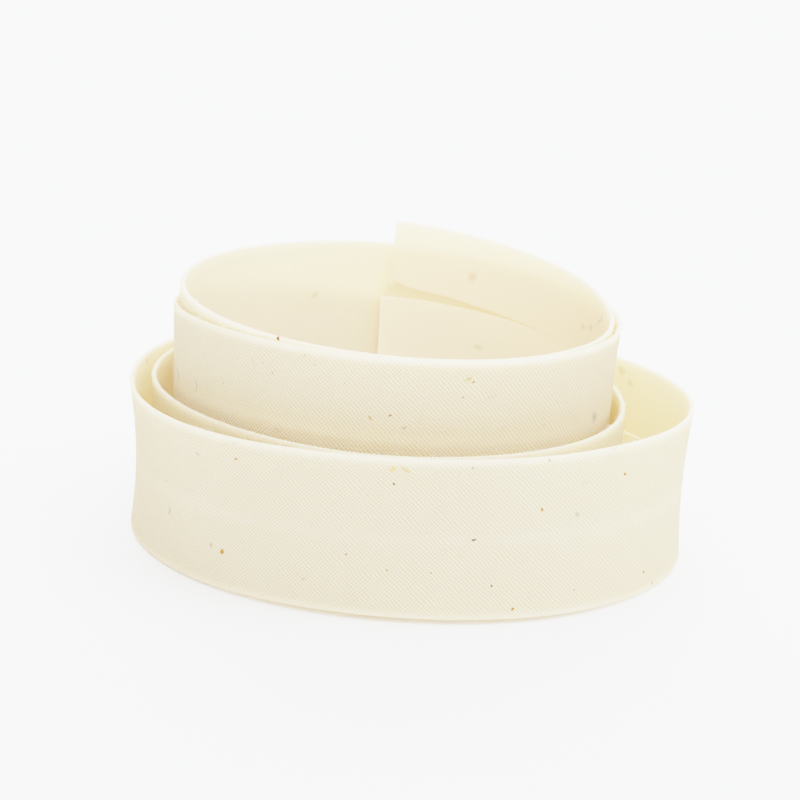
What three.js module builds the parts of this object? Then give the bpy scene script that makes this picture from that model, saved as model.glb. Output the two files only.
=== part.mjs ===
// A roll of bias binding: one strip of calico with both long edges folded to its inner side,
// wound in four loose turns and stood on its edge, its two inner turns drawn up.
import * as THREE from 'three';

// Sizes of the folded strip, in millimetres.
const STRIP_WIDTH = 25;
const LAYER_THICKNESS = 0.4;
const LAYER_GAP = 0.2;
const RAW_EDGE_GAP = 2;
const FOLD_ROUNDING_OUT = 0.25;
const FOLD_ROUNDING_UP = 0.35;

// The two cut ends, as angles of the winding, and the angle between sections, in degrees.
const INNER_END = -3;
const OUTER_END = 1455;
const SECTION_STEP = 6;

// The length over which the sections turn square to the run of the strip near its inner end.
const END_CUT_REACH = 20;

// The winding, from the inner end to the outer one. The angle in degrees starts at the back and
// goes by the right, the front and the left. The radius in millimetres is that of the lower edge,
// the lift is its height above the surface, and the lean in degrees is outwards at the top.
const WINDING = [
  { angle: -15, radius: 32.6, lift: 20.8, lean: 0.8 },
  { angle: 0, radius: 33.0, lift: 20.0, lean: 0.8 },
  { angle: 45, radius: 34.4, lift: 17.0, lean: 0.4 },
  { angle: 90, radius: 35.1, lift: 13.7, lean: 0 },
  { angle: 135, radius: 34.6, lift: 13.3, lean: 0.2 },
  { angle: 180, radius: 34.1, lift: 14.0, lean: 0.8 },
  { angle: 225, radius: 33.8, lift: 15.1, lean: 1.4 },
  { angle: 270, radius: 34.0, lift: 16.1, lean: 1.6 },
  { angle: 315, radius: 34.2, lift: 16.4, lean: 1.4 },
  { angle: 360, radius: 34.9, lift: 15.9, lean: 0.8 },
  { angle: 405, radius: 35.9, lift: 15.4, lean: 0.4 },
  { angle: 450, radius: 36.5, lift: 14.3, lean: 0 },
  { angle: 495, radius: 36.1, lift: 13.5, lean: 0.2 },
  { angle: 540, radius: 35.6, lift: 14.0, lean: 0.8 },
  { angle: 585, radius: 35.2, lift: 14.4, lean: 1.4 },
  { angle: 630, radius: 35.4, lift: 13.4, lean: 1.6 },
  { angle: 675, radius: 36.3, lift: 10.0, lean: 1.0 },
  { angle: 720, radius: 37.4, lift: 5.6, lean: 0 },
  { angle: 765, radius: 38.3, lift: 1.4, lean: -1 },
  { angle: 810, radius: 38.8, lift: 0, lean: -1 },
  { angle: 855, radius: 40.4, lift: 0, lean: 0 },
  { angle: 900, radius: 38.8, lift: 0, lean: 2 },
  { angle: 945, radius: 36.1, lift: 0, lean: 3 },
  { angle: 990, radius: 37.6, lift: 0, lean: 2.6 },
  { angle: 1035, radius: 41.0, lift: 0, lean: 1 },
  { angle: 1080, radius: 44.0, lift: 0, lean: -1 },
  { angle: 1125, radius: 47.4, lift: 0, lean: -2 },
  { angle: 1170, radius: 50.0, lift: 0, lean: -1.4 },
  { angle: 1215, radius: 47.0, lift: 0.4, lean: -3.5 },
  { angle: 1260, radius: 42.5, lift: 0.7, lean: 1.6 },
  { angle: 1305, radius: 42.2, lift: 0.3, lean: 3.2 },
  { angle: 1350, radius: 41.2, lift: 0, lean: 2.2 },
  { angle: 1395, radius: 43.8, lift: 0, lean: 1 },
  { angle: 1440, radius: 46.4, lift: 0, lean: 0 },
  { angle: 1455, radius: 47.0, lift: 0, lean: 0 },
];

// One column of the winding at any angle, on a smooth curve through the rows.
function windingAt(column, angle) {
  const last = WINDING.length - 1;
  const slopeAt = (row) => {
    const before = WINDING[Math.max(row - 1, 0)];
    const after = WINDING[Math.min(row + 1, last)];
    return (after[column] - before[column]) / (after.angle - before.angle);
  };
  let row = 0;
  while (row < last - 1 && WINDING[row + 1].angle <= angle) {
    row += 1;
  }
  const start = WINDING[row];
  const end = WINDING[row + 1];
  const span = end.angle - start.angle;
  const t = (angle - start.angle) / span;
  return (
    (1 + 2 * t) * (1 - t) ** 2 * start[column] +
    t * (1 - t) ** 2 * span * slopeAt(row) +
    t * t * (3 - 2 * t) * end[column] +
    t * t * (t - 1) * span * slopeAt(row + 1)
  );
}

// The lower edge never goes below the surface that the roll stands on.
function liftAt(angle) {
  return Math.max(0, windingAt('lift', angle));
}

// How steeply the strip climbs along its run, as an angle in radians.
function climbAt(angle) {
  const reach = 1;
  const rise = liftAt(angle + reach) - liftAt(angle - reach);
  const run = windingAt('radius', angle) * THREE.MathUtils.degToRad(2 * reach);
  return Math.atan2(rise, run);
}

// A point of the strip, out from its middle surface and up from its lower edge.
function stripPoint(angle, out, up) {
  const lean = THREE.MathUtils.degToRad(windingAt('lean', angle));
  const radius = windingAt('radius', angle) + up * Math.tan(lean) + out;
  const turned = THREE.MathUtils.degToRad(angle);
  const height = liftAt(angle) + up / Math.cos(climbAt(angle));
  return new THREE.Vector3(radius * Math.sin(turned), radius * Math.cos(turned), height);
}

// Near the inner end each section turns square to the climbing strip, so that the cut is square.
function cutAngle(angle, up) {
  const radius = windingAt('radius', angle);
  const fromEnd = THREE.MathUtils.degToRad(angle - INNER_END) * radius;
  const share = THREE.MathUtils.clamp(1 - fromEnd / END_CUT_REACH, 0, 1);
  const shift = -(up - STRIP_WIDTH / 2) * Math.sin(climbAt(angle)) * share;
  return angle + THREE.MathUtils.radToDeg(shift / radius);
}

// The folded section: the outer layer, and the two edges turned in behind it, whose raw edges
// face each other across the gap at the middle. It goes round once, out and up.
function foldedSection() {
  const face = LAYER_THICKNESS + LAYER_GAP / 2;
  const inside = LAYER_GAP / 2;
  const top = STRIP_WIDTH;
  const rawLow = (STRIP_WIDTH - RAW_EDGE_GAP) / 2;
  const rawHigh = (STRIP_WIDTH + RAW_EDGE_GAP) / 2;
  return [
    [face, FOLD_ROUNDING_UP],
    [face, top - FOLD_ROUNDING_UP],
    [FOLD_ROUNDING_OUT, top],
    [-FOLD_ROUNDING_OUT, top],
    [-face, top - FOLD_ROUNDING_UP],
    [-face, rawHigh],
    [-inside, rawHigh],
    [-inside, top - LAYER_THICKNESS],
    [inside, top - LAYER_THICKNESS],
    [inside, LAYER_THICKNESS],
    [-inside, LAYER_THICKNESS],
    [-inside, rawLow],
    [-face, rawLow],
    [-face, FOLD_ROUNDING_UP],
    [-FOLD_ROUNDING_OUT, 0],
    [FOLD_ROUNDING_OUT, 0],
  ].map(([out, up]) => new THREE.Vector2(out, up));
}

// The strip as one closed body: its section carried along the winding, closed at both cut ends.
function stripGeometry() {
  const section = foldedSection();
  const steps = Math.round((OUTER_END - INNER_END) / SECTION_STEP);
  const points = [];
  for (let step = 0; step <= steps; step += 1) {
    const angle = THREE.MathUtils.lerp(INNER_END, OUTER_END, step / steps);
    for (const { x: out, y: up } of section) {
      points.push(stripPoint(cutAngle(angle, up), out, up));
    }
  }

  const faces = [];
  const around = section.length;
  for (let step = 0; step < steps; step += 1) {
    for (let corner = 0; corner < around; corner += 1) {
      const next = (corner + 1) % around;
      const here = step * around;
      const there = here + around;
      faces.push(here + corner, here + next, there + next);
      faces.push(here + corner, there + next, there + corner);
    }
  }
  const outerCut = steps * around;
  for (const [a, b, c] of THREE.ShapeUtils.triangulateShape(section, [])) {
    faces.push(c, b, a);
    faces.push(outerCut + a, outerCut + b, outerCut + c);
  }

  const geometry = new THREE.BufferGeometry().setFromPoints(points);
  geometry.setIndex(faces);
  return geometry;
}

// The middle of the roll's box stands on the origin.
function centreOnOrigin(geometry) {
  geometry.computeBoundingBox();
  const middle = geometry.boundingBox.getCenter(new THREE.Vector3());
  geometry.translate(-middle.x, -middle.y, -geometry.boundingBox.min.z);
}

// Unbleached cotton calico.
function calico() {
  return new THREE.MeshStandardMaterial({ color: 0xece5cf, roughness: 0.95, metalness: 0 });
}

function bindingStrip() {
  const geometry = stripGeometry();
  centreOnOrigin(geometry);
  geometry.computeVertexNormals();
  const strip = new THREE.Mesh(geometry, calico());
  strip.name = 'binding_strip';
  return strip;
}

const roll = new THREE.Group();
roll.add(bindingStrip());

export default roll;
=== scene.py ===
"""A roll of bias binding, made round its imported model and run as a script.

One strip of calico, cut on the bias, has both long edges folded in. It is wound in four open
turns and stands on edge, with its two inner turns drawn up.
"""
import math

import bmesh
import bpy
import numpy as np
from mathutils import Matrix, Vector


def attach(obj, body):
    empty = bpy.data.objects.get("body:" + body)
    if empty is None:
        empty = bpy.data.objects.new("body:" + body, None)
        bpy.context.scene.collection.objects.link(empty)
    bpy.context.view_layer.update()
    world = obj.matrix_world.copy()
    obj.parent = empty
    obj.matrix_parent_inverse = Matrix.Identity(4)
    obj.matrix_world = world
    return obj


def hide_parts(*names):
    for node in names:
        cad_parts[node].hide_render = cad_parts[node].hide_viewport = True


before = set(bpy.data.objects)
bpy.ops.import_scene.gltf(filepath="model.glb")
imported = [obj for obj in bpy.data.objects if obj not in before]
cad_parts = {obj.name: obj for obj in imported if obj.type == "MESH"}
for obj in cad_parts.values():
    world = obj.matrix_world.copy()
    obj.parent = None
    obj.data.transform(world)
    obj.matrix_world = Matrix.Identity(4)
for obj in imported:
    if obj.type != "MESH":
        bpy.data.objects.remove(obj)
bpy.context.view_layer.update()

bl_info = {
    "name": "Roll of bias binding",
    "version": (1, 0, 0),
    "blender": (4, 5, 0),
    "location": "View3D > Sidebar > Binding",
    "description": "Makes a loose roll of calico bias binding and a plain studio round it",
    "category": "Object",
}

MM = 0.001

# The winding, from the inner end to the outer one. The angle in degrees starts at the back and
# goes by the right, the front and the left. The radius in millimetres is that of the lower edge,
# the lift is its height above the surface, the lean in degrees is outwards at the top, and the
# bow in millimetres is how far the middle of the face stands out from its edges.
ANGLE, RADIUS, LIFT, LEAN, BOW = range(5)
WINDING = np.array([
    (-15, 32.6, 21.0, 0.8, 0),
    (0, 33.0, 20.2, 0.8, 0),
    (45, 34.4, 17.0, 0.5, -0.2),
    (90, 34.9, 13.7, 0.8, -0.4),
    (135, 34.5, 13.3, 0.4, -0.2),
    (180, 34.1, 14.0, 0.8, 0),
    (225, 33.7, 15.1, 1.4, 0),
    (270, 33.9, 16.1, 1.6, 0),
    (315, 34.1, 16.4, 1.4, 0),
    (360, 34.8, 15.9, 0.8, 0),
    (405, 35.5, 14.2, 0.6, -0.2),
    (450, 35.95, 13.0, 1.2, -0.5),
    (495, 35.7, 13.3, 0.6, -0.3),
    (540, 35.2, 14.0, 0.8, 0),
    (585, 34.7, 14.1, 1.4, 0),
    (630, 34.8, 12.4, 1.6, 0),
    (675, 35.8, 9.6, 1.0, 0),
    (720, 37.0, 5.6, 0, 0),
    (765, 37.9, 1.4, -1, 0),
    (810, 38.1, 0, -1, 0),
    (855, 39.8, 0, 0, 0),
    (900, 38.8, 0, 2, 0),
    (945, 36.1, 0, 3, 0),
    (990, 37.6, 0, 2.6, 0),
    (1035, 41.0, 0, 1, 0),
    (1080, 44.0, 0, -1, 0),
    (1125, 46.9, 0, -1, -0.2),
    (1170, 48.8, 0, 1.3, -0.65),
    (1215, 47.3, 0.6, -4.1, -0.2),
    (1260, 43.7, 0.8, -1.0, -0.1),
    (1305, 41.6, 0.4, 4.5, -0.4),
    (1350, 41.4, 0, 1.9, -0.95),
    (1395, 43.8, 0, 1, -0.6),
    (1440, 46.4, 0, 0, -0.2),
    (1455, 47.0, 0, 0, -0.1),
])
INNER_END = -3.0
OUTER_END = 1455.0
FINISHED_WIDTH = 25.0

# Where the axis of the winding stands in the row frame, in millimetres.
COIL_AXIS = np.array((-3.894, -1.640, 0.0))

# The width in millimetres of the gap between the two raw edges, at angles of the winding.
GAP_WIDTHS = np.array([
    (-3, 2.4),
    (8, 1.8),
    (22, 1.1),
    (36, 0.4),
    (50, 0.03),
    (110, 0.03),
    (160, 1.2),
    (210, 1.0),
    (250, 0.03),
    (380, 0.03),
    (480, 1.6),
    (700, 1.2),
    (900, 1.4),
    (1060, 0.4),
    (1140, 0.4),
    (1200, 1.5),
    (1300, 1.5),
    (1455, 1.3),
])

# The mesh: sections along the strip, and points across each stretch of a section.
SECTIONS = 720
FINE_STEPS = 12000
TURNING_POINTS = 13
FOLD_POINTS = 9
FACE_POINTS = 24

# The cut at the inner end: how far along the strip its sections turn, in millimetres, how far the
# folded end leans, and how far the flat cloth was cut from square, both in degrees.
END_CUT_REACH = 20.0
END_CUT_LEAN = 2.25
END_CUT_SKEW = 2.55

# The studio's slightly cool white.
LIGHT_COLOUR = (0.975, 1.0, 1.03)

# How fast the picture brightens with the light, and the brightest it gets.
EXPOSURE = 3.85
WHITEST = 0.94

# The cloth's own coordinates, in millimetres along and across the flat strip.
CLOTH_MAP = "cloth"

# The parts of the strip on which the photo shows flecks: a stretch of the winding's angles, and
# whether the outer face or the turned-in edges are seen there.
FACE, TURNING = range(2)
FIRST_TURN = (150, 260, FACE)
SECOND_TURN = (455, 620, FACE)
OUTER_TURN = (1150, 1370, FACE)
INSIDE_BACK = (-3, 100, TURNING)
INSIDE_LEFT = (270, 358, TURNING)
OUTER_RIGHT = (1085, 1175, TURNING)
OUTER_LEFT = (1350, 1440, TURNING)
FLAT_PLACE = None

# Husks, stains, smudges and loose hairs in the cloth. Each row gives the part of the strip, the
# photo's column and row of pixels at the fleck's middle, half a length and half a width in
# millimetres, and a turn in degrees. After FLAT_PLACE the two numbers aren't pixels but
# millimetres along and across the flat strip.
HUSKS = [
    (FIRST_TURN, 278, 338.5, 0.36, 0.26, 20),
    (SECOND_TURN, 390, 415.5, 0.24, 0.20, 0),
    (SECOND_TURN, 463, 397.5, 0.18, 0.15, 0),
    (OUTER_TURN, 394, 484, 0.27, 0.22, 30),
    (OUTER_TURN, 474, 540, 0.42, 0.22, 165),
    (OUTER_TURN, 473, 468, 0.18, 0.15, 0),
    (OUTER_TURN, 491.5, 586, 0.24, 0.20, 60),
    (FLAT_PLACE, 801.4, -8.9, 0.16, 0.14, 0),
    (FLAT_PLACE, 871.9, 1.6, 0.14, 0.12, 0),
]
RUST = [
    (OUTER_TURN, 222, 551.5, 0.51, 0.41, 70),
    (SECOND_TURN, 473.5, 382, 0.24, 0.22, 0),
    (OUTER_TURN, 542, 509.5, 0.26, 0.35, 0),
    (OUTER_TURN, 625, 474, 0.26, 0.36, 150),
    (OUTER_TURN, 512.5, 609, 0.32, 0.27, 0),
    (OUTER_TURN, 643.5, 572, 0.38, 0.24, 30),
    (OUTER_TURN, 236, 459, 0.32, 0.20, 160),
    (OUTER_TURN, 431, 573, 0.20, 0.16, 0),
    (FLAT_PLACE, 837.5, -3.1, 0.20, 0.18, 0),
    (OUTER_TURN, 549.5, 460.5, 0.27, 0.18, 0),
    (FLAT_PLACE, 348.0, 7.5, 0.16, 0.14, 0),
]
STRAW = [
    (SECOND_TURN, 469, 379, 0.70, 0.42, 150),
    (OUTER_TURN, 406, 470, 1.33, 0.31, 25),
    (OUTER_TURN, 393, 469, 0.63, 0.56, 0),
    (OUTER_TURN, 652, 583, 0.42, 0.36, 0),
    (OUTER_TURN, 387, 570, 0.28, 0.25, 0),
    (SECOND_TURN, 370, 418, 0.59, 0.28, 40),
]
TEA = [
    (INSIDE_BACK, 472.5, 277, 1.45, 1.23, 0),
    (INSIDE_BACK, 478, 347, 1.01, 0.81, 0),
    (INSIDE_BACK, 583, 327, 1.01, 0.80, 0),
    (INSIDE_BACK, 591, 328, 1.22, 1.01, 0),
    (INSIDE_LEFT, 315, 295, 1.01, 0.81, 0),
    (OUTER_RIGHT, 622, 371, 1.42, 1.22, 0),
    (OUTER_RIGHT, 630, 383, 1.12, 1.01, 0),
    (OUTER_LEFT, 147, 361, 1.01, 0.81, 0),
    (FLAT_PLACE, 880.0, 14.6, 1.62, 0.80, 10),
]
ASH = [
    (SECOND_TURN, 594, 417, 1.60, 1.50, 20),
    (OUTER_TURN, 170, 511, 0.90, 0.51, 120),
    (OUTER_TURN, 198, 454, 0.60, 0.39, 20),
    (OUTER_TURN, 211, 545, 0.75, 0.45, 60),
    (OUTER_TURN, 577, 514, 0.75, 0.63, 0),
    (OUTER_TURN, 235, 443, 0.83, 0.24, 150),
    (SECOND_TURN, 305, 355, 0.60, 0.21, 130),
    (SECOND_TURN, 315, 365, 0.36, 0.24, 20),
    (SECOND_TURN, 544, 425, 0.36, 0.30, 0),
    (FLAT_PLACE, 326.9, 1.8, 0.60, 0.38, 0),
    (FLAT_PLACE, 844.0, -7.9, 0.52, 0.38, 0),
]
HAIRS = [
    (SECOND_TURN, 492, 396, 0.95, 0.045, 140),
    (SECOND_TURN, 557, 402, 0.45, 0.045, 30),
    (SECOND_TURN, 196, 385, 1.30, 0.051, 95),
    (SECOND_TURN, 178, 374, 1.10, 0.051, 55),
    (FLAT_PLACE, 364.6, -3.4, 1.00, 0.051, 100),
    (SECOND_TURN, 277, 430, 0.60, 0.045, 30),
    (SECOND_TURN, 253, 362, 0.80, 0.039, 20),
    (FLAT_PLACE, 799.8, 7.6, 0.90, 0.051, 150),
    (INSIDE_BACK, 600, 320, 1.60, 0.060, 110),
    (FLAT_PLACE, 794.0, 12.4, 0.80, 0.051, 20),
]
SPECKS = 420
FUZZ = 2400
FADE_MAP = "fade"

# The search for a fleck's place tries squares of places this far each way, in millimetres.
SEARCH_REACHES = (0.8, 0.2, 0.05)
SEARCH_STEPS = 9

# The least height above the surface of anything on the cloth, in millimetres.
LEAST_HEIGHT = 0.01

# A fleck is a lens of rings: each one's share of the radius, and how far it stands proud.
LENS_RINGS = (0.0, 0.4, 0.75, 1.0, 0.0)
LENS_PROUD = (0.055, 0.05, 0.03, 0.0, -0.02)
LENS_SPOKES = 12
LENS_WAVERS = ((2, 0.18), (3, 0.10))

# Fine specks, in millimetres of the flat strip.
SPECK_ALONG = (5, 970)
SPECK_ACROSS = (-21, 21)
SPECK_RADIUS = (0.05, 0.12)
SPECK_FLATNESS = 0.8

# Loose hairs and the fuzz on the folds, in millimetres, with the bend and tip in radians. A hair
# waves by these shares of its length, at these rates, with or without a start of its own.
HAIR_SIDES = 4
HAIR_TIP = 0.12
HAIR_POINTS = 14
HAIR_WAVES = ((0.30, 2.6, 1), (0.10, 6.0, 0))
HAIR_PROUD = 0.04
FUZZ_POINTS = 6
FUZZ_ALONG = (2, 972)
FUZZ_LINE = 12.45
FUZZ_SPREAD = 0.25
FUZZ_REACH = (0.2, 0.7)
FUZZ_BEND = (-1.5, 1.5)
FUZZ_LIFT = (0.2, 0.8)
FUZZ_PROUD = 0.01
FUZZ_RADIUS = 0.02

# Colours of the fainter flecks and of the loose fibre.
STRAW_COLOUR = (0.90, 0.60, 0.18)
TEA_COLOUR = (0.74, 0.58, 0.34)
ASH_COLOUR = (0.50, 0.48, 0.45)
HAIR_COLOUR = (0.40, 0.38, 0.33)
FUZZ_COLOUR = (0.93, 0.90, 0.80)

# Slow waves along the strip. Each has a height and a wavelength in millimetres, and a start in
# radians.
LOW_RAW_WAVES = ((0.04, 3.1, 0.2), (0.06, 7.7, 1.9))
HIGH_RAW_WAVES = ((0.04, 2.7, 2.2), (0.07, 9.1, 0.7))
PRESS_WAVES = ((0.02, 13.0, 0.4), (0.015, 5.9, 2.0))
SWAY_WAVES = ((0.04, 61.0, 0.4), (0.02, 27.0, 2.1), (0.012, 11.0, 4.0))
TILT_WAVES = ((0.07, 83.0, 1.2), (0.04, 31.0, 0.3))
BOW_WAVES = ((0.03, 47.0, 2.9), (0.025, 19.0, 5.0))

# In millimetres: the gap at which the raw edges waver in full, how far they are pressed to the
# face and over what reach, and the same for the sinking of the face between them.
FULL_GAP = 1.5
RAW_PRESS = 0.09
RAW_PRESS_REACH = 1.6
FACE_SINK = 0.015
FACE_SINK_REACH = 1.1

# Where the weave shows less, and the painted shade of the gap between the raw edges near the inner
# end: two places in millimetres across or along the flat strip, and the strength at each.
MIDDLE_FADE = (0.4, 1.3, 0.75, 1.0)
FOLD_FADE = (10.9, 12.3, 1.0, 0.25)
INNER_FADE = (30.0, 90.0, 0.25, 1.0)
PAINTED_GAP_SHADE_ACROSS = (0.3, 1.4, 0.30, 0.0)
PAINTED_GAP_SHADE_ALONG = (5.0, 45.0, 1.0, 0.0)

# The weave: how many pitches each set of threads wanders off its lines, and over what noise.
WARP_WANDER = 1.6
WEFT_WANDER = 1.1
WARP_NOISE = 0.11
WEFT_NOISE = 0.35
WEFT_NOISE_START = 57.0

# The share of a thread's height that its crossings add, where an opening starts and is full, and
# the noise that gives each thread a tone of its own, drawn out along the thread.
CROSSING_RISE = 0.45
OPENING_RANGE = (0.05, 0.65)
THREAD_NOISE_STEP = 3.7
THREAD_NOISE_STRETCH = 0.16

# How much each of these deepens the cloth's colour (the weave's openings, each thread's and
# patch's own tone, and, as painted shade, the grooves between the threads), and the colours that
# the deepest cloth and the light through it are multiplied by.
OPENING_SHADE = 0.9
GROOVE_SHADE = 1.1
GROOVE_TOP = 0.62
THREAD_SHADE = 0.3
CLOUD_SHADE = 0.15
CLOUD_NOISE = 0.06
DEEP_CLOTH = (0.55, 0.50, 0.26)
DEEP_GLOW = (0.86, 0.82, 0.62)
WEAVE_RELIEF = 0.10

# The camera. The photo is a square of this many pixels, the target is in millimetres, and the
# roll is in degrees.
PHOTO_SIDE = 800
SENSOR = 36
LENS = 126
CAMERA_TARGET = (-2.254, -6.930, 24.0)
CAMERA_ROLL = 3.4

# The floor's half side and depth in millimetres, and how often light may bounce.
FLOOR_REACH = 4000.0
FLOOR_DROP = 0.01
LIGHT_BOUNCES = 40


class BindingSizes(bpy.types.PropertyGroup):
    """The sizes that the strip is folded to."""

    finished_width: bpy.props.FloatProperty(
        name="Finished width",
        description="Width of the strip with both edges folded in",
        default=25 * MM,
        subtype="DISTANCE",
        unit="LENGTH",
    )
    cut_width: bpy.props.FloatProperty(
        name="Cut width",
        description="Width of the flat strip before its edges are folded",
        default=48 * MM,
        subtype="DISTANCE",
        unit="LENGTH",
    )
    cloth_thickness: bpy.props.FloatProperty(
        name="Cloth thickness",
        description="Thickness of one layer of the calico",
        default=0.3 * MM,
        subtype="DISTANCE",
        unit="LENGTH",
    )
    edge_thickness: bpy.props.FloatProperty(
        name="Edge thickness",
        description="Thickness of the folded edges, over both layers",
        default=0.72 * MM,
        subtype="DISTANCE",
        unit="LENGTH",
    )


class BindingFinish(bpy.types.PropertyGroup):
    """The colours and the weave of the calico."""

    cloth: bpy.props.FloatVectorProperty(
        name="Cloth",
        description="Colour of the unbleached cotton where it scatters light back",
        default=(0.995, 0.953, 0.825),
        min=0.0,
        max=1.0,
        subtype="COLOR",
    )
    glow: bpy.props.FloatVectorProperty(
        name="Glow",
        description="Colour of the light that passes through one layer",
        default=(0.995, 0.938, 0.785),
        min=0.0,
        max=1.0,
        subtype="COLOR",
    )
    husk: bpy.props.FloatVectorProperty(
        name="Husk",
        description="Colour of the dark husks caught in the cloth",
        default=(0.24, 0.105, 0.03),
        min=0.0,
        max=1.0,
        subtype="COLOR",
    )
    rust: bpy.props.FloatVectorProperty(
        name="Rust",
        description="Colour of the paler, orange-brown husks",
        default=(0.53, 0.235, 0.025),
        min=0.0,
        max=1.0,
        subtype="COLOR",
    )
    translucency: bpy.props.FloatProperty(
        name="Translucency",
        description="Share of the light that goes on through the surface of the cloth",
        default=0.6,
        min=0.0,
        max=1.0,
        subtype="FACTOR",
    )
    warp_pitch: bpy.props.FloatProperty(
        name="Warp pitch",
        description="Distance between the threads of the closer set",
        default=0.436 * MM,
        subtype="DISTANCE",
        unit="LENGTH",
    )
    weft_pitch: bpy.props.FloatProperty(
        name="Weft pitch",
        description="Distance between the threads of the wider set",
        default=0.527 * MM,
        subtype="DISTANCE",
        unit="LENGTH",
    )


class StudioSettings(bpy.types.PropertyGroup):
    """The camera, the floor and the light."""

    floor_colour: bpy.props.FloatVectorProperty(
        name="Floor colour",
        description="Colour of the plain pale floor",
        default=(0.90, 0.905, 0.91),
        min=0.0,
        max=1.0,
        subtype="COLOR",
    )
    surround: bpy.props.FloatProperty(
        name="Surround",
        description="Strength of the even light from all round",
        default=0.42,
        min=0.0,
    )
    overhead: bpy.props.FloatProperty(
        name="Overhead",
        description="Strength of the broad light from above",
        default=1.4,
        min=0.0,
    )
    side: bpy.props.FloatProperty(
        name="Side",
        description="Strength of the light from the right",
        default=0.8,
        min=0.0,
    )
    front: bpy.props.FloatProperty(
        name="Front",
        description="Strength of the soft light from beside the camera",
        default=0.75,
        min=0.0,
    )
    back: bpy.props.FloatProperty(
        name="Back",
        description="Strength of the low light from behind",
        default=3.8,
        min=0.0,
    )
    elevation: bpy.props.FloatProperty(
        name="Camera elevation",
        description="Angle of the camera above the floor",
        default=math.radians(15.77),
        subtype="ANGLE",
        unit="ROTATION",
    )
    distance: bpy.props.FloatProperty(
        name="Camera distance",
        description="Distance from the camera to the point it looks at",
        default=0.453,
        subtype="DISTANCE",
        unit="LENGTH",
    )


def along_winding(column, angle):
    """One column of the winding at any angle.

    Between two rows it is a cubic that leaves each row at the slope between the row before it
    and the row after it.
    """
    angles = WINDING[:, ANGLE]
    values = WINDING[:, column]
    before = np.maximum(np.arange(len(angles)) - 1, 0)
    after = np.minimum(np.arange(len(angles)) + 1, len(angles) - 1)
    slopes = (values[after] - values[before]) / (angles[after] - angles[before])
    row = np.clip(np.searchsorted(angles, angle, side="right") - 1, 0, len(angles) - 2)
    span = angles[row + 1] - angles[row]
    t = (angle - angles[row]) / span
    return (
        (1 + 2 * t) * (1 - t) ** 2 * values[row]
        + t * (1 - t) ** 2 * span * slopes[row]
        + t * t * (3 - 2 * t) * values[row + 1]
        + t * t * (t - 1) * span * slopes[row + 1]
    )


def lift_at(angle):
    """Height of the lower edge, never below the surface."""
    return np.maximum(0, along_winding(LIFT, angle))


def climb_at(angle):
    """How steeply the strip climbs along its run: the rise over two degrees against the run."""
    rise = lift_at(angle + 1) - lift_at(angle - 1)
    run = along_winding(RADIUS, angle) * math.radians(2)
    return np.arctan2(rise, run)


def strip_point(angle, out, up):
    """A point of the strip in millimetres, out from its middle surface and up its face.

    It stands at the winding's radius, plus what the lean and the bow add at that height, plus how
    far out it is. The bow is a parabola that is nought at both edges. The height is the lift plus
    the way up, measured square to the climbing strip.
    """
    share = up / FINISHED_WIDTH
    radius = along_winding(RADIUS, angle) + out
    radius = radius + up * np.tan(np.radians(along_winding(LEAN, angle)))
    radius = radius + along_winding(BOW, angle) * 4 * share * (1 - share)
    turned = np.radians(angle)
    height = lift_at(angle) + up / np.cos(climb_at(angle))
    point = np.stack([radius * np.sin(turned), radius * np.cos(turned), height], axis=-1)
    return point + COIL_AXIS


def even_sections(width):
    """The angles of the sections, and how far along the strip each one is.

    The length of the strip's middle line is summed over many small steps, and the sections share
    it evenly.
    """
    fine = np.linspace(INNER_END, OUTER_END, FINE_STEPS)
    middle = strip_point(fine, 0, width / 2)
    steps = np.linalg.norm(np.diff(middle, axis=0), axis=1)
    length = np.concatenate([[0], np.cumsum(steps)])
    even = np.linspace(0, length[-1], SECTIONS + 1)
    return np.interp(even, length, fine), even


def ripple(along, waves):
    """A sum of sine waves along the strip, each given as height, wavelength and start."""
    return sum(h * np.sin(2 * np.pi * along / w + start) for h, w, start in waves)


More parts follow.
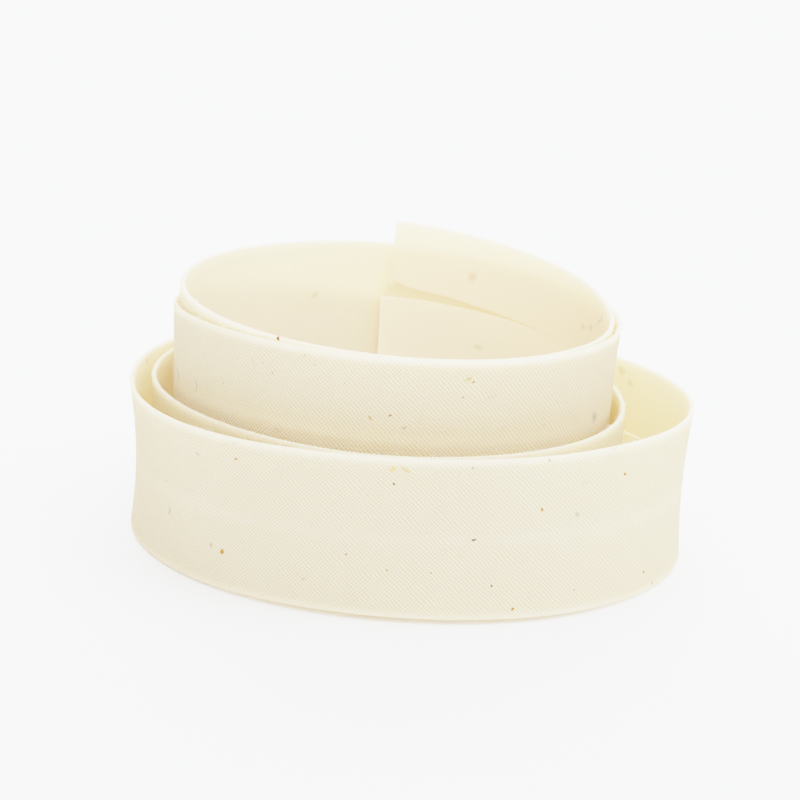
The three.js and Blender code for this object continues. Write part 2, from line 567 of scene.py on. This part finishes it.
def folded_line(along, gap, width, fold, inset):
    """The middle line of the cloth in each section, as (out, up), from one raw edge to the other.

    The lower turning runs down from its raw edge, goes round a half circle into the face, up the
    face, round the upper half circle and down the upper turning. The turnings are pressed to
    the face at their raw edges, and the face sinks a little where no turning backs it.
    """
    rows = np.ones((len(along), 1))
    raw_low = (width - gap)[:, None] / 2
    raw_high = (width + gap)[:, None] / 2
    low = inset + fold
    high = width - inset - fold
    uneven = np.minimum(1, gap / FULL_GAP)
    raw_low = raw_low + (uneven * ripple(along, LOW_RAW_WAVES))[:, None]
    raw_high = raw_high + (uneven * ripple(along, HIGH_RAW_WAVES))[:, None]

    share = np.linspace(0, 1, TURNING_POINTS, endpoint=False)
    turn = np.linspace(0, np.pi, FOLD_POINTS, endpoint=False)
    face = np.linspace(0, 1, FACE_POINTS, endpoint=False)
    back = np.linspace(0, 1, TURNING_POINTS + 1)

    up = np.concatenate([
        raw_low + (low - raw_low) * share,
        rows * (low - fold * np.sin(turn)),
        rows * (low + (high - low) * face),
        rows * (high + fold * np.sin(turn)),
        high + (raw_high - high) * back,
    ], axis=1)
    out = np.concatenate([
        -fold * rows * np.ones_like(share),
        -fold * rows * np.cos(turn),
        fold * rows * np.ones_like(face),
        fold * rows * np.cos(turn),
        -fold * rows * np.ones_like(back),
    ], axis=1)

    middle = (up - width / 2) / width
    turning = out < -0.9 * fold
    near_raw = np.exp(-(np.abs(middle) * width - gap[:, None] / 2) / RAW_PRESS_REACH)
    stand_off = ripple(along, PRESS_WAVES)[:, None] - RAW_PRESS
    out = out - turning * near_raw * stand_off
    sink = FACE_SINK * np.exp(-((middle * width / FACE_SINK_REACH) ** 2))
    out = out - (out > 0.9 * fold) * sink

    sway = ripple(along, SWAY_WAVES)[:, None]
    tilt = ripple(along, TILT_WAVES)[:, None]
    bow = ripple(along, BOW_WAVES)[:, None]
    out = out + sway + tilt * middle + bow * (1 - 4 * middle**2)
    return np.stack([out, up], axis=-1)


def flat_across(line):
    """The cloth's coordinate across the flat strip: the length along the folded line, counted
    from the middle of the face."""
    steps = np.linalg.norm(np.diff(line, axis=1), axis=2)
    length = np.concatenate([np.zeros((len(line), 1)), np.cumsum(steps, axis=1)], axis=1)
    face_start = TURNING_POINTS + FOLD_POINTS
    middle = length[:, face_start + FACE_POINTS // 2]
    return length - middle[:, None]


def both_sides(line, thickness):
    """The cloth's two surfaces: the middle line moved half the thickness along its normal, out
    to the right side and back to the wrong side, as one ring."""
    tangent = np.gradient(line, axis=1)
    tangent /= np.linalg.norm(tangent, axis=2, keepdims=True)
    normal = np.stack([tangent[..., 1], -tangent[..., 0]], axis=-1)
    right = line + normal * thickness / 2
    wrong = line - normal * thickness / 2
    return np.concatenate([right, wrong[:, ::-1]], axis=1)


def ring_faces(rows, ring):
    """Quads between neighbouring rings, and at both cut ends between the cloth's two sides."""
    row, corner = np.meshgrid(np.arange(rows - 1), np.arange(ring), indexing="ij")
    following = (corner + 1) % ring
    here = row * ring
    there = here + ring
    walls = np.stack([here + corner, here + following, there + following, there + corner], -1)
    point = np.arange(ring // 2 - 1)
    opposite = ring - 1 - point
    cut = np.stack([point, opposite, opposite - 1, point + 1], -1)
    far_cut = cut[:, ::-1] + (rows - 1) * ring
    return np.concatenate([walls.reshape(-1, 4), cut, far_cut])


def new_piece(name, points, faces):
    """A smooth-shaded mesh object at the origin, from points in millimetres."""
    mesh = bpy.data.meshes.new(name)
    mesh.from_pydata(points * MM, [], faces)
    mesh.polygons.foreach_set("use_smooth", np.ones(len(mesh.polygons), bool))
    piece = bpy.data.objects.new(name, mesh)
    bpy.context.scene.collection.objects.link(piece)
    return piece


def map_points(mesh, name, coordinates):
    """Gives each corner of the mesh its point's coordinates, as a UV map."""
    corner_points = np.empty(len(mesh.loops), int)
    mesh.loops.foreach_get("vertex_index", corner_points)
    layer = mesh.uv_layers.new(name=name)
    layer.uv.foreach_set("vector", coordinates[corner_points].astype(np.float32).ravel())


def sharpen(mesh, lines):
    """Marks each edge whose two points are on the same sharp line. Nought stands for no line."""
    pairs = np.empty(len(mesh.edges) * 2, int)
    mesh.edges.foreach_get("vertices", pairs)
    line = lines[pairs.reshape(-1, 2)]
    sharp = (line[:, 0] > 0) & (line[:, 0] == line[:, 1])
    mesh.attributes.new("sharp_edge", "BOOLEAN", "EDGE").data.foreach_set("value", sharp)


class Value:
    """A shader socket. Arithmetic on it adds Math nodes."""

    def __init__(self, graph, socket):
        self.graph = graph
        self.socket = socket

    def _math(self, operation, *values):
        return self.graph.node("ShaderNodeMath", {"operation": operation}, dict(enumerate(values)))

    def __add__(self, other):
        return self._math("ADD", self, other)

    __radd__ = __add__

    def __sub__(self, other):
        return self._math("SUBTRACT", self, other)

    def __rsub__(self, other):
        return self._math("SUBTRACT", other, self)

    def __mul__(self, other):
        return self._math("MULTIPLY", self, other)

    __rmul__ = __mul__

    def __abs__(self):
        return self._math("ABSOLUTE", self)

    def sine(self):
        """The sine of the value, in radians."""
        return self._math("SINE", self)

    def floor(self):
        """The whole number below the value."""
        return self._math("FLOOR", self)

    def above(self, other):
        """One where the value is above the other, and else none."""
        return self._math("GREATER_THAN", self, other)

    def ramp(self, low, high, start=0.0, end=1.0):
        """A smooth step from start at low to end at high."""
        settings = {"interpolation_type": "SMOOTHSTEP"}
        values = {"Value": self, "From Min": low, "From Max": high, "To Min": start, "To Max": end}
        return self.graph.node("ShaderNodeMapRange", settings, values)


class Graph:
    """The nodes of one material."""

    def __init__(self, name):
        self.material = bpy.data.materials.new(name)
        self.material.use_nodes = True
        self.tree = self.material.node_tree
        self.tree.nodes.clear()

    def node(self, kind, settings=None, values=None, output=0):
        """Adds a node: its settings first, then the values or links of its sockets."""
        node = self.tree.nodes.new(kind)
        for name, setting in (settings or {}).items():
            setattr(node, name, setting)
        for name, value in (values or {}).items():
            socket = node.inputs[name]
            if isinstance(value, Value):
                self.tree.links.new(value.socket, socket)
            else:
                socket.default_value = value
        return Value(self, node.outputs[output]) if len(node.outputs) else None

    def mix(self, factor, first, second):
        """Mixes two colours."""
        settings = {"data_type": "RGBA"}
        return self.node("ShaderNodeMix", settings, {0: factor, 6: first, 7: second}, 2)

    def vector(self, x, y):
        """A vector of two values, and nought as the third."""
        return self.node("ShaderNodeCombineXYZ", None, {0: x, 1: y})

    def noise(self, vector, scale, detail):
        """Smooth noise around one half."""
        values = {"Vector": vector, "Scale": scale, "Detail": detail}
        return self.node("ShaderNodeTexNoise", {"noise_dimensions": "2D"}, values)

    def surface(self, shader):
        """Makes a shader the material's surface."""
        self.node("ShaderNodeOutputMaterial", None, {"Surface": shader})


def solid(colour):
    """A colour with full alpha."""
    return (*colour, 1.0)


def plain_weave(graph, along, across, finish):
    """The height of a plain weave whose threads run at 45 degrees to the strip.

    The product of two sines changes sign from one crossing to the next, and its sign says which
    thread is on top. A thread is round across its width and highest in the middle of a crossing.
    """
    wander = graph.vector(along, across)
    drift = graph.noise(wander, WARP_NOISE, 2.0)
    shake = graph.noise(graph.vector(along + WEFT_NOISE_START, across), WEFT_NOISE, 1.0)
    warp = (along + across) * (math.sqrt(0.5) * MM / finish.warp_pitch) + drift * WARP_WANDER
    weft = (along - across) * (math.sqrt(0.5) * MM / finish.weft_pitch) + shake * WEFT_WANDER
    warp_wave = (warp * math.pi).sine()
    weft_wave = (weft * math.pi).sine()
    on_top = (warp_wave * weft_wave).above(0.0)
    warp_round = abs(warp_wave)
    weft_round = abs(weft_wave)
    warp_height = warp_round * (weft_round * CROSSING_RISE + (1 - CROSSING_RISE))
    weft_height = weft_round * (warp_round * CROSSING_RISE + (1 - CROSSING_RISE))
    height = weft_height + (warp_height - weft_height) * on_top
    opening = ((1.0 - warp_round) * (1.0 - weft_round)).ramp(*OPENING_RANGE)
    warp_spot = graph.vector(warp.floor() * THREAD_NOISE_STEP, weft * THREAD_NOISE_STRETCH)
    weft_spot = graph.vector(warp * THREAD_NOISE_STRETCH, weft.floor() * THREAD_NOISE_STEP)
    warp_tone = graph.noise(warp_spot, 1.0, 1.0)
    weft_tone = graph.noise(weft_spot, 1.0, 1.0)
    tone = weft_tone + (warp_tone - weft_tone) * on_top
    return height, opening, tone


def calico(finish):
    """Unbleached plain-weave cotton that lets some light through, with painted shade in the
    grooves of its weave and in the gap between its raw edges near the inner end.
    """
    graph = Graph("calico")
    place = graph.node("ShaderNodeUVMap", {"uv_map": CLOTH_MAP})
    along = graph.node("ShaderNodeSeparateXYZ", None, {0: place}, 0)
    across = graph.node("ShaderNodeSeparateXYZ", None, {0: place}, 1)
    height, opening, tone = plain_weave(graph, along, across, finish)

    off_middle = abs(across)
    crisp = off_middle.ramp(*MIDDLE_FADE) * off_middle.ramp(*FOLD_FADE)
    crisp = crisp * along.ramp(*INNER_FADE)
    clouds = graph.noise(place, CLOUD_NOISE, 3.0)
    # Painted shade: the cloth's colour is darkened where the weave lies low, in the grooves
    # between its threads. The depth below mixes this with the cloth's own tone.
    painted_groove_shade = (GROOVE_TOP - height) * GROOVE_SHADE
    unevenness = (tone - 0.5) * THREAD_SHADE + (clouds - 0.5) * CLOUD_SHADE
    depth = (opening * OPENING_SHADE + painted_groove_shade + unevenness) * crisp
    # Painted shade: near the inner end the gap between the raw edges is darkened in the colour,
    # and in the light through it, as though it lay in shade.
    painted_gap_shade = off_middle.ramp(*PAINTED_GAP_SHADE_ACROSS) * along.ramp(*PAINTED_GAP_SHADE_ALONG)
    depth = depth + painted_gap_shade
    deep = tuple(a * b for a, b in zip(finish.cloth, DEEP_CLOTH))
    deep_glow = tuple(a * b for a, b in zip(finish.glow, DEEP_GLOW))
    colour = graph.mix(depth, solid(finish.cloth), solid(deep))

    bump = graph.node("ShaderNodeBump", None, {
        "Strength": 1.0, "Distance": WEAVE_RELIEF * MM, "Height": height * crisp})
    cloth = graph.node("ShaderNodeBsdfPrincipled", None, {
        "Base Color": colour,
        "Roughness": 0.95,
        "Specular IOR Level": 0.2,
        "Sheen Weight": 0.08,
        "Sheen Roughness": 0.5,
        "Normal": bump,
    })
    raised, sunk = (
        graph.node("ShaderNodeBsdfTranslucent", None, {"Color": solid(glow), "Normal": bump})
        for glow in (finish.glow, deep_glow)
    )
    through = graph.node("ShaderNodeMixShader", None, {0: depth, 1: raised, 2: sunk})
    graph.surface(graph.node("ShaderNodeMixShader", None, {
        0: finish.translucency, 1: cloth, 2: through}))
    return graph.material


def husk(name, colour, cover, core):
    """Plant matter caught in the cloth. It covers fully out to the core's share of its radius and
    fades to nothing at its rim."""
    graph = Graph(name)
    place = graph.node("ShaderNodeUVMap", {"uv_map": FADE_MAP})
    spread = graph.node("ShaderNodeSeparateXYZ", None, {0: place}, 0)
    where = graph.node("ShaderNodeTexCoord", None, None, "Object")
    grain = graph.noise(where, 9.0 / MM, 1.0)
    ragged = spread + (grain - 0.5) * 0.5
    darker = tuple(0.6 * part for part in colour)
    graph.surface(graph.node("ShaderNodeBsdfPrincipled", None, {
        "Base Color": graph.mix(grain, solid(colour), solid(darker)),
        "Roughness": 0.8,
        "Specular IOR Level": 0.2,
        "Alpha": ragged.ramp(core, 1.0, cover, 0.0),
    }))
    return graph.material


def lint(colour):
    """Loose cotton fibre, a little uneven in tone."""
    graph = Graph("lint")
    where = graph.node("ShaderNodeTexCoord", None, None, "Object")
    uneven = graph.noise(where, 1.5 / MM, 1.0)
    paler = tuple(min(1.0, 1.3 * part) for part in colour)
    graph.surface(graph.node("ShaderNodeBsdfPrincipled", None, {
        "Base Color": graph.mix(uneven, solid(colour), solid(paler)),
        "Roughness": 0.9,
        "Specular IOR Level": 0.2,
    }))
    return graph.material


def plain_floor(colour):
    """A matt pale surface, hardly uneven."""
    graph = Graph("pale floor")
    place = graph.node("ShaderNodeTexCoord", None, None, "Object")
    clouds = graph.noise(place, 2.0, 2.0)
    paler = tuple(min(1.0, 1.01 * part) for part in colour)
    graph.surface(graph.node("ShaderNodeBsdfPrincipled", None, {
        "Base Color": graph.mix(clouds, solid(colour), solid(paler)),
        "Roughness": 0.9,
        "Specular IOR Level": 0.2,
    }))
    return graph.material


def camera_place(studio):
    """The camera's placing: back from the target along its line of sight, with its own upright
    turned by the roll."""
    tilt = Matrix.Rotation(math.pi / 2 - studio.elevation, 4, "X")
    turn = Matrix.Rotation(math.radians(CAMERA_ROLL), 4, "Z")
    facing = tilt @ turn
    back = facing @ Vector((0, 0, studio.distance))
    return Matrix.Translation(Vector(CAMERA_TARGET) * MM + back) @ facing


def photo_pixels(points, camera):
    """The photo's column and row of pixels that show points given in millimetres."""
    to_camera = np.array(camera.inverted())
    seen = points * MM @ to_camera[:3, :3].T + to_camera[:3, 3]
    focal = PHOTO_SIDE * LENS / SENSOR
    column = PHOTO_SIDE / 2 - focal * seen[..., 0] / seen[..., 2]
    line = PHOTO_SIDE / 2 + focal * seen[..., 1] / seen[..., 2]
    return np.stack([column, line], axis=-1)


class FoldedStrip:
    """The sections of the folded strip, on their places along the winding."""

    def __init__(self, sizes):
        self.width = sizes.finished_width / MM
        self.thickness = sizes.cloth_thickness / MM
        fold = (sizes.edge_thickness / MM - self.thickness) / 2
        self.angle, self.along = even_sections(self.width)
        gap = np.interp(self.angle, GAP_WIDTHS[:, 0], GAP_WIDTHS[:, 1])
        self.line = folded_line(self.along, gap, self.width, fold, self.thickness / 2)
        across = flat_across(self.line)
        self.across = np.concatenate([across, across[:, ::-1]], axis=1)

    def surface(self, proud=0.0):
        """The points of both sides of the cloth, moved proud of it, and how far along the flat
        strip each one is.

        Near the inner end each section leans with the cut. The flat cloth's coordinate runs
        square to the climbing strip.
        """
        section = both_sides(self.line, self.thickness + 2 * proud)
        out = section[..., 0]
        from_middle = section[..., 1] - self.width / 2
        share = np.clip(1 - self.along / END_CUT_REACH, 0, 1)[:, None]
        lean = from_middle * math.tan(math.radians(END_CUT_LEAN))
        skew = self.across * math.tan(math.radians(END_CUT_SKEW))
        shift = (lean + skew) * share
        radius = along_winding(RADIUS, self.angle)[:, None]
        places = self.angle[:, None] + np.degrees(shift / radius)
        points = strip_point(places, out, section[..., 1])
        climb = climb_at(self.angle)[:, None]
        return points, self.along[:, None] + shift + from_middle * np.tan(climb)


class RightSide:
    """The right side of the cloth, as a place for things that lie on it."""

    def __init__(self, strip):
        half = strip.across.shape[1] // 2
        self.step = strip.along[1]
        self.angle = strip.angle
        self.half_width = strip.width / 2
        self.across = strip.across[:, :half]
        near, flat_along = strip.surface()
        far, _ = strip.surface(1.0)
        self.near = near[:, :half]
        self.outward = far[:, :half] - self.near
        self.flat_along = flat_along[:, :half]

    def _blend(self, grid, row, across):
        """A grid's value at fractions of a row, by the two rows and two columns round it."""
        low = np.clip(np.floor(row).astype(int), 0, len(grid) - 2)
        values = []
        for index in (low, low + 1):
            known = self.across[index]
            column = (known < across[:, None]).sum(axis=1) - 1
            column = np.clip(column, 0, known.shape[1] - 2)
            pick = np.arange(len(index))
            start = known[pick, column]
            share = (across - start) / (known[pick, column + 1] - start)
            share = share.reshape(-1, *[1] * (grid.ndim - 2))
            values.append(grid[index, column] * (1 - share) + grid[index, column + 1] * share)
        part = (row - low).reshape(-1, *[1] * (grid.ndim - 2))
        return values[0] * (1 - part) + values[1] * part

    def place(self, along, across, proud):
        """Points at places along and across the flat cloth, and proud of it, all in millimetres.

        The row is found by stepping twice by what is still missing along the flat cloth.
        """
        shape = along.shape
        along, across, proud = along.ravel(), across.ravel(), proud.ravel()
        row = along / self.step
        for _ in range(2):
            row = row + (along - self._blend(self.flat_along, row, across)) / self.step
        points = self._blend(self.near, row, across)
        points = points + self._blend(self.outward, row, across) * proud[:, None]
        points[:, 2] = np.maximum(points[:, 2], LEAST_HEIGHT)
        return points.reshape(*shape, 3)

    def find(self, part, column, line, camera):
        """The place along and across the flat cloth that the photo shows at a pixel.

        The mesh point nearest to the pixel on the given part of the strip comes first. Then ever
        smaller squares of places round the best one are tried.
        """
        start, end, side = part
        on_stretch = (self.angle >= start) & (self.angle <= end)
        on_side = (np.abs(self.across) > self.half_width) == (side == TURNING)
        off = np.linalg.norm(photo_pixels(self.near, camera) - (column, line), axis=-1)
        off[~(on_stretch[:, None] & on_side)] = np.inf
        best = np.unravel_index(off.argmin(), off.shape)
        place = np.array((self.flat_along[best], self.across[best]))
        for reach in SEARCH_REACHES:
            steps = np.linspace(-reach, reach, SEARCH_STEPS)
            tried = place[:, None] + np.array(np.meshgrid(steps, steps)).reshape(2, -1)
            points = self.place(*tried, np.zeros(tried.shape[1]))
            off = np.linalg.norm(photo_pixels(points, camera) - (column, line), axis=-1)
            place = tried[:, off.argmin()]
        return place

    def flecks(self, rows, camera):
        """Rows of flecks, each with its place on the cloth, its sizes and its turn."""
        found = []
        for part, first, second, *sizes in rows:
            place = (first, second)
            if part is not FLAT_PLACE:
                place = self.find(part, first, second, camera)
            found.append((*place, *sizes))
        return np.array(found)


def specks(rng):
    """Fine husks at random all over the strip."""
    along = rng.uniform(*SPECK_ALONG, SPECKS)
    across = rng.uniform(*SPECK_ACROSS, SPECKS)
    radius = rng.uniform(*SPECK_RADIUS, SPECKS)
    turn = rng.uniform(0, 180, SPECKS)
    return np.stack([along, across, radius, radius * SPECK_FLATNESS, turn], -1)


def husk_piece(name, side, rows, rng, material):
    """Thin lenses lying on the cloth.

    Each one is a round of rings whose radius wavers by two sines round it. It stands most proud in
    its middle, sinks to the cloth at its rim, and a fan of faces closes it underneath.
    """
    along, across, length, width, turn = rows.T[:, :, None, None]
    theta = np.linspace(0, 2 * np.pi, LENS_SPOKES, endpoint=False)
    start = rng.uniform(0, 2 * np.pi, (2, len(rows), 1, 1))
    waver = 1 + sum(size * np.sin(times * theta + start[number])
                    for number, (times, size) in enumerate(LENS_WAVERS))
    rings = np.array(LENS_RINGS)[:, None]
    x = length * rings * waver * np.cos(theta)
    y = width * rings * waver * np.sin(theta)
    turn = np.radians(turn)
    proud = np.array(LENS_PROUD)[:, None] * np.ones_like(x)
    points = side.place(
        along + x * np.cos(turn) - y * np.sin(turn),
        across + x * np.sin(turn) + y * np.cos(turn),
        proud,
    )
    shape = (len(rows), len(LENS_RINGS), LENS_SPOKES)
    grid = np.arange(np.prod(shape)).reshape(shape)
    beside = np.roll(grid, -1, axis=2)
    quads = np.stack([grid[:, :-1], beside[:, :-1], beside[:, 1:], grid[:, 1:]], -1)
    piece = new_piece(name, points.reshape(-1, 3), quads.reshape(-1, 4))
    spread = np.broadcast_to(rings, shape).ravel()
    map_points(piece.data, FADE_MAP, np.stack([spread, spread], -1))
    finish_round(piece, material)


def hair_piece(name, side, along, across, proud, radius, material):
    """Fine tubes along lines on the cloth. A ring of points, given sideways and proud, is carried
    along each line and tapers to its two ends."""
    ahead = np.gradient(along, axis=1)
    aside = np.gradient(across, axis=1)
    size = np.hypot(ahead, aside)
    count, points_along = along.shape
    round_it = np.linspace(0, 2 * np.pi, HAIR_SIDES, endpoint=False)
    taper = np.sin(np.linspace(HAIR_TIP, np.pi - HAIR_TIP, points_along))
    reach = radius[:, None] * taper
    sideways = reach[..., None] * np.cos(round_it)
    points = side.place(
        along[..., None] - (aside / size)[..., None] * sideways,
        across[..., None] + (ahead / size)[..., None] * sideways,
        proud[..., None] + reach[..., None] * np.sin(round_it),
    )
    shape = (count, points_along, HAIR_SIDES)
    grid = np.arange(np.prod(shape)).reshape(shape)
    beside = np.roll(grid, -1, axis=2)
    walls = np.stack([grid[:, :-1], grid[:, 1:], beside[:, 1:], beside[:, :-1]], -1)
    ends = np.concatenate([grid[:, 0], grid[:, -1, ::-1]])
    faces = np.concatenate([walls.reshape(-1, 4), ends])
    finish_round(new_piece(name, points.reshape(-1, 3), faces), material)


def finish_round(piece, material):
    """Closes a small piece's poles, turns its faces outwards and lets it ride with the strip."""
    shape = bmesh.new()
    shape.from_mesh(piece.data)
    bmesh.ops.remove_doubles(shape, verts=shape.verts, dist=1e-8)
    bmesh.ops.recalc_face_normals(shape, faces=shape.faces)
    shape.to_mesh(piece.data)
    shape.free()
    piece.data.materials.append(material)
    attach(piece, "root")


class BINDING_OT_husks(bpy.types.Operator):
    """Lay the husks, smudges, hairs and fuzz on the cloth"""

    bl_idname = "binding.husks"
    bl_label = "Husks and hairs"

    def execute(self, context):
        rng = np.random.default_rng(11)
        side = RightSide(FoldedStrip(context.scene.binding_sizes))
        camera = camera_place(context.scene.binding_studio)
        finish = context.scene.binding_finish
        brown = husk("brown husk", finish.husk, cover=0.95, core=0.6)
        husk_piece("brown_husks", side, side.flecks(HUSKS, camera), rng, brown)
        rust = husk("rust husk", finish.rust, cover=0.95, core=0.60)
        husk_piece("rust_husks", side, side.flecks(RUST, camera), rng, rust)
        husk_piece("fine_specks", side, specks(rng), rng, rust)
        straw = husk("straw stain", STRAW_COLOUR, cover=0.70, core=0.10)
        husk_piece("straw_stains", side, side.flecks(STRAW, camera), rng, straw)
        tea = husk("tea stain", TEA_COLOUR, cover=0.26, core=0.0)
        husk_piece("tea_stains", side, side.flecks(TEA, camera), rng, tea)
        ash = husk("ash smudge", ASH_COLOUR, cover=0.40, core=0.0)
        husk_piece("ash_smudges", side, side.flecks(ASH, camera), rng, ash)

        line = np.linspace(-1, 1, HAIR_POINTS)
        hairs = side.flecks(HAIRS, camera)
        along, across, length, radius, turn = hairs.T[:, :, None]
        start = rng.uniform(0, 2 * np.pi, (len(HAIRS), 1))
        x = length * line
        y = length * sum(size * np.sin(times * line + share * start)
                         for size, times, share in HAIR_WAVES)
        turn = np.radians(turn)
        hair_piece(
            "loose_hairs",
            side,
            along + x * np.cos(turn) - y * np.sin(turn),
            across + x * np.sin(turn) + y * np.cos(turn),
            HAIR_PROUD + 0 * x,
            radius[:, 0],
            lint(HAIR_COLOUR),
        )

        line = np.linspace(0, 1, FUZZ_POINTS)
        along = rng.uniform(*FUZZ_ALONG, (FUZZ, 1))
        edge = FUZZ_LINE * rng.choice([-1.0, 1.0, 1.0], (FUZZ, 1))
        across = edge + rng.normal(0, FUZZ_SPREAD, (FUZZ, 1))
        reach = rng.uniform(*FUZZ_REACH, (FUZZ, 1))
        heading = rng.uniform(0, 2 * np.pi, (FUZZ, 1))
        bend = rng.uniform(*FUZZ_BEND, (FUZZ, 1))
        lift = rng.uniform(*FUZZ_LIFT, (FUZZ, 1))
        hair_piece(
            "edge_fuzz",
            side,
            along + reach * line * np.cos(heading + bend * line),
            across + reach * line * np.sin(heading + bend * line),
            FUZZ_PROUD + reach * lift * line * (2 - line),
            np.full(FUZZ, FUZZ_RADIUS),
            lint(FUZZ_COLOUR),
        )
        return {"FINISHED"}


class BINDING_OT_strip(bpy.types.Operator):
    """Wind the folded strip of calico"""

    bl_idname = "binding.strip"
    bl_label = "Binding strip"

    def execute(self, context):
        sizes = context.scene.binding_sizes
        strip = FoldedStrip(sizes)
        points, flat_along = strip.surface()
        rows, ring = strip.across.shape
        faces = ring_faces(rows, ring)
        piece = new_piece("binding_strip_cloth", points.reshape(-1, 3), faces)
        flat = np.stack([flat_along, strip.across], -1)
        map_points(piece.data, CLOTH_MAP, flat.reshape(-1, 2))
        lines = np.zeros((rows, ring), int)
        raw_edges = (0, ring // 2 - 1, ring // 2, ring - 1)
        for number, corner in enumerate(raw_edges, start=1):
            lines[:, corner] = number
        lines[0] = len(raw_edges) + 1
        lines[-1] = len(raw_edges) + 2
        sharpen(piece.data, lines.ravel())

        piece.data.materials.append(calico(context.scene.binding_finish))
        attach(piece, "root")
        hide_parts("binding_strip")
        return {"FINISHED"}


def expose(view):
    """A bright exposure that rolls off: what is shown is WHITEST times one less the falling
    exponential of the light."""
    view.view_transform = "Standard"
    view.use_curve_mapping = True
    curve = view.curve_mapping.curves[3]
    for light in (0.05, 0.12, 0.22, 0.35, 0.5, 0.7):
        curve.points.new(light, WHITEST * (1 - math.exp(-EXPOSURE * light)))
    curve.points[-1].location = (1, WHITEST * (1 - math.exp(-EXPOSURE)))
    view.curve_mapping.update()


def broad_light(name, energy, spread, turn):
    """A light with no place of its own, spread over a wide angle, in degrees."""
    light = bpy.data.lights.new(name, "SUN")
    light.energy = energy
    light.angle = math.radians(spread)
    light.color = LIGHT_COLOUR
    lamp = bpy.data.objects.new(name, light)
    lamp.rotation_euler = [math.radians(part) for part in turn]
    bpy.context.scene.collection.objects.link(lamp)


class BINDING_OT_stage(bpy.types.Operator):
    """Set the camera, the pale floor and the soft light"""

    bl_idname = "binding.stage"
    bl_label = "Stage"

    def execute(self, context):
        scene = context.scene
        studio = scene.binding_studio

        camera = bpy.data.objects.new("camera", bpy.data.cameras.new("camera"))
        camera.data.sensor_width = SENSOR
        camera.data.lens = LENS
        camera.data.clip_start = 0.01
        camera.matrix_world = camera_place(studio)
        scene.collection.objects.link(camera)
        scene.camera = camera

        corner = np.array([(-1, -1), (1, -1), (1, 1), (-1, 1)]) * FLOOR_REACH
        floor_points = np.column_stack([corner, np.full(len(corner), -FLOOR_DROP)])
        floor = new_piece("floor", floor_points, [(0, 1, 2, 3)])
        floor.data.materials.append(plain_floor(studio.floor_colour))

        broad_light("overhead", studio.overhead, spread=80, turn=(0, 0, 0))
        broad_light("side", studio.side, spread=60, turn=(0, 50, 0))
        broad_light("front", studio.front, spread=50, turn=(62, 0, 0))
        broad_light("back", studio.back, spread=60, turn=(-78, 0, 0))

        world = bpy.data.worlds.new("pale surround")
        world.use_nodes = True
        background = world.node_tree.nodes["Background"]
        background.inputs["Color"].default_value = solid(LIGHT_COLOUR)
        background.inputs["Strength"].default_value = studio.surround
        scene.world = world
        expose(scene.view_settings)
        scene.cycles.max_bounces = LIGHT_BOUNCES
        scene.cycles.diffuse_bounces = LIGHT_BOUNCES
        scene.cycles.transmission_bounces = LIGHT_BOUNCES
        return {"FINISHED"}


class BINDING_PT_panel(bpy.types.Panel):
    """Makes the roll and its stage"""

    bl_label = "Bias binding"
    bl_idname = "BINDING_PT_panel"
    bl_space_type = "VIEW_3D"
    bl_region_type = "UI"
    bl_category = "Binding"

    def draw(self, context):
        for group in (
            context.scene.binding_sizes,
            context.scene.binding_finish,
            context.scene.binding_studio,
        ):
            box = self.layout.box()
            for name in group.__annotations__:
                box.prop(group, name)
        for operator in OPERATORS:
            self.layout.operator(operator.bl_idname)


GROUPS = {
    "binding_sizes": BindingSizes,
    "binding_finish": BindingFinish,
    "binding_studio": StudioSettings,
}
OPERATORS = (BINDING_OT_husks, BINDING_OT_strip, BINDING_OT_stage)


def register():
    """Registers the classes and hangs the settings on the scene."""
    for group in (*GROUPS.values(), *OPERATORS, BINDING_PT_panel):
        bpy.utils.register_class(group)
    for name, group in GROUPS.items():
        setattr(bpy.types.Scene, name, bpy.props.PointerProperty(type=group))


def unregister():
    """Takes the settings and the classes away again."""
    for name in GROUPS:
        delattr(bpy.types.Scene, name)
    for group in (BINDING_PT_panel, *reversed(OPERATORS), *reversed(GROUPS.values())):
        bpy.utils.unregister_class(group)


def main():
    """Makes every piece and the stage."""
    register()
    bpy.ops.binding.husks()
    bpy.ops.binding.strip()
    bpy.ops.binding.stage()


if __name__ == "__main__":
    main()
